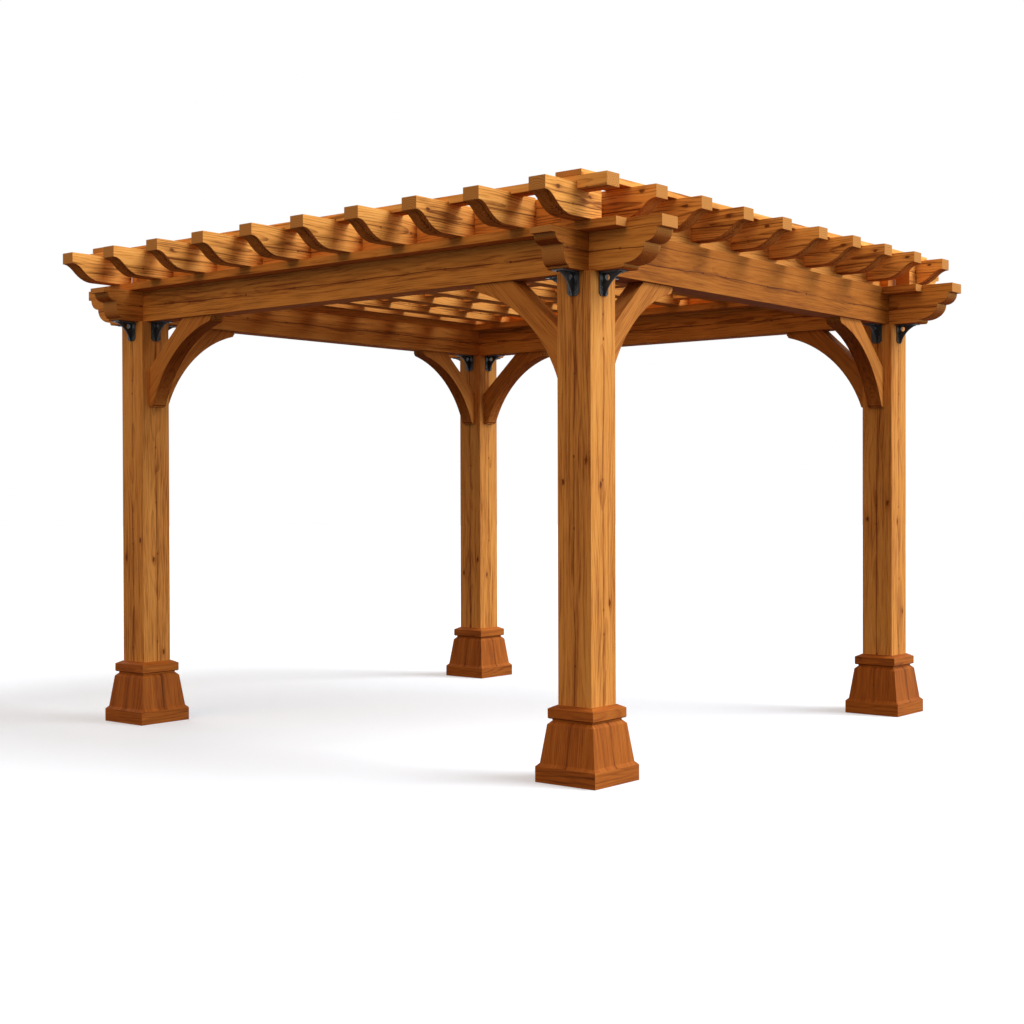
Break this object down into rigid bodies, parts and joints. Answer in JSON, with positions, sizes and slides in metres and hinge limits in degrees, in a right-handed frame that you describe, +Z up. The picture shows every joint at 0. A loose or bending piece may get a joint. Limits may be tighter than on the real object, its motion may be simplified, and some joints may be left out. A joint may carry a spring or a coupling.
{
  "type": "wooden pergola",
  "caption": "Free-standing timber pergola with square posts, scrolled beam and rafter tails, curved knee braces and an egg-crate rafter roof.",
  "frame": {"origin": "ground level in the middle of the plan", "axes": "+Z up, +X along the front from left to right, +Y from the front to the back"},
  "size_m": [3.8, 4, 2.654],
  "materials": {
    "post_timber": "stained, satin",
    "base_timber": "stained, satin",
    "beam_timber": "stained, satin",
    "brace_timber": "stained, satin",
    "rafter_timber": "stained, satin",
    "black_steel": "black powder coat"
  },
  "bodies": {
    "root": {"front_left_post": "post_timber", "front_right_post": "post_timber", "back_left_post": "post_timber", "back_right_post": "post_timber", "front_left_base": "base_timber", "front_right_base": "base_timber", "back_left_base": "base_timber", "back_right_base": "base_timber", "front_left_collar": "base_timber", "front_right_collar": "base_timber", "back_left_collar": "base_timber", "back_right_collar": "base_timber", "front_left_side_brace": "brace_timber", "front_right_side_brace": "brace_timber", "back_left_side_brace": "brace_timber", "back_right_side_brace": "brace_timber", "front_left_front_brace": "brace_timber", "front_right_front_brace": "brace_timber", "back_left_front_brace": "brace_timber", "back_right_front_brace": "brace_timber", "front_left_brackets": "black_steel", "front_right_brackets": "black_steel", "back_left_brackets": "black_steel", "back_right_brackets": "black_steel", "left_beam": "beam_timber", "right_beam": "beam_timber", "front_beam": "beam_timber", "back_beam": "beam_timber", "left_ledgers": "beam_timber", "right_ledgers": "beam_timber", "left_rim": "rafter_timber", "right_rim": "rafter_timber", "front_rim": "rafter_timber", "back_rim": "rafter_timber", "cross_rafter_1": "rafter_timber", "cross_rafter_2": "rafter_timber", "cross_rafter_3": "rafter_timber", "cross_rafter_4": "rafter_timber", "cross_rafter_5": "rafter_timber", "cross_rafter_6": "rafter_timber", "cross_rafter_7": "rafter_timber", "cross_rafter_8": "rafter_timber", "cross_rafter_9": "rafter_timber", "cross_rafter_10": "rafter_timber", "long_rafter_1": "rafter_timber", "long_rafter_2": "rafter_timber", "long_rafter_3": "rafter_timber", "long_rafter_4": "rafter_timber", "long_rafter_5": "rafter_timber", "long_rafter_6": "rafter_timber", "long_rafter_7": "rafter_timber", "long_rafter_8": "rafter_timber", "long_rafter_9": "rafter_timber", "long_rafter_10": "rafter_timber", "front_edge_board": "rafter_timber", "back_edge_board": "rafter_timber"}
  },
  "joints": []
}
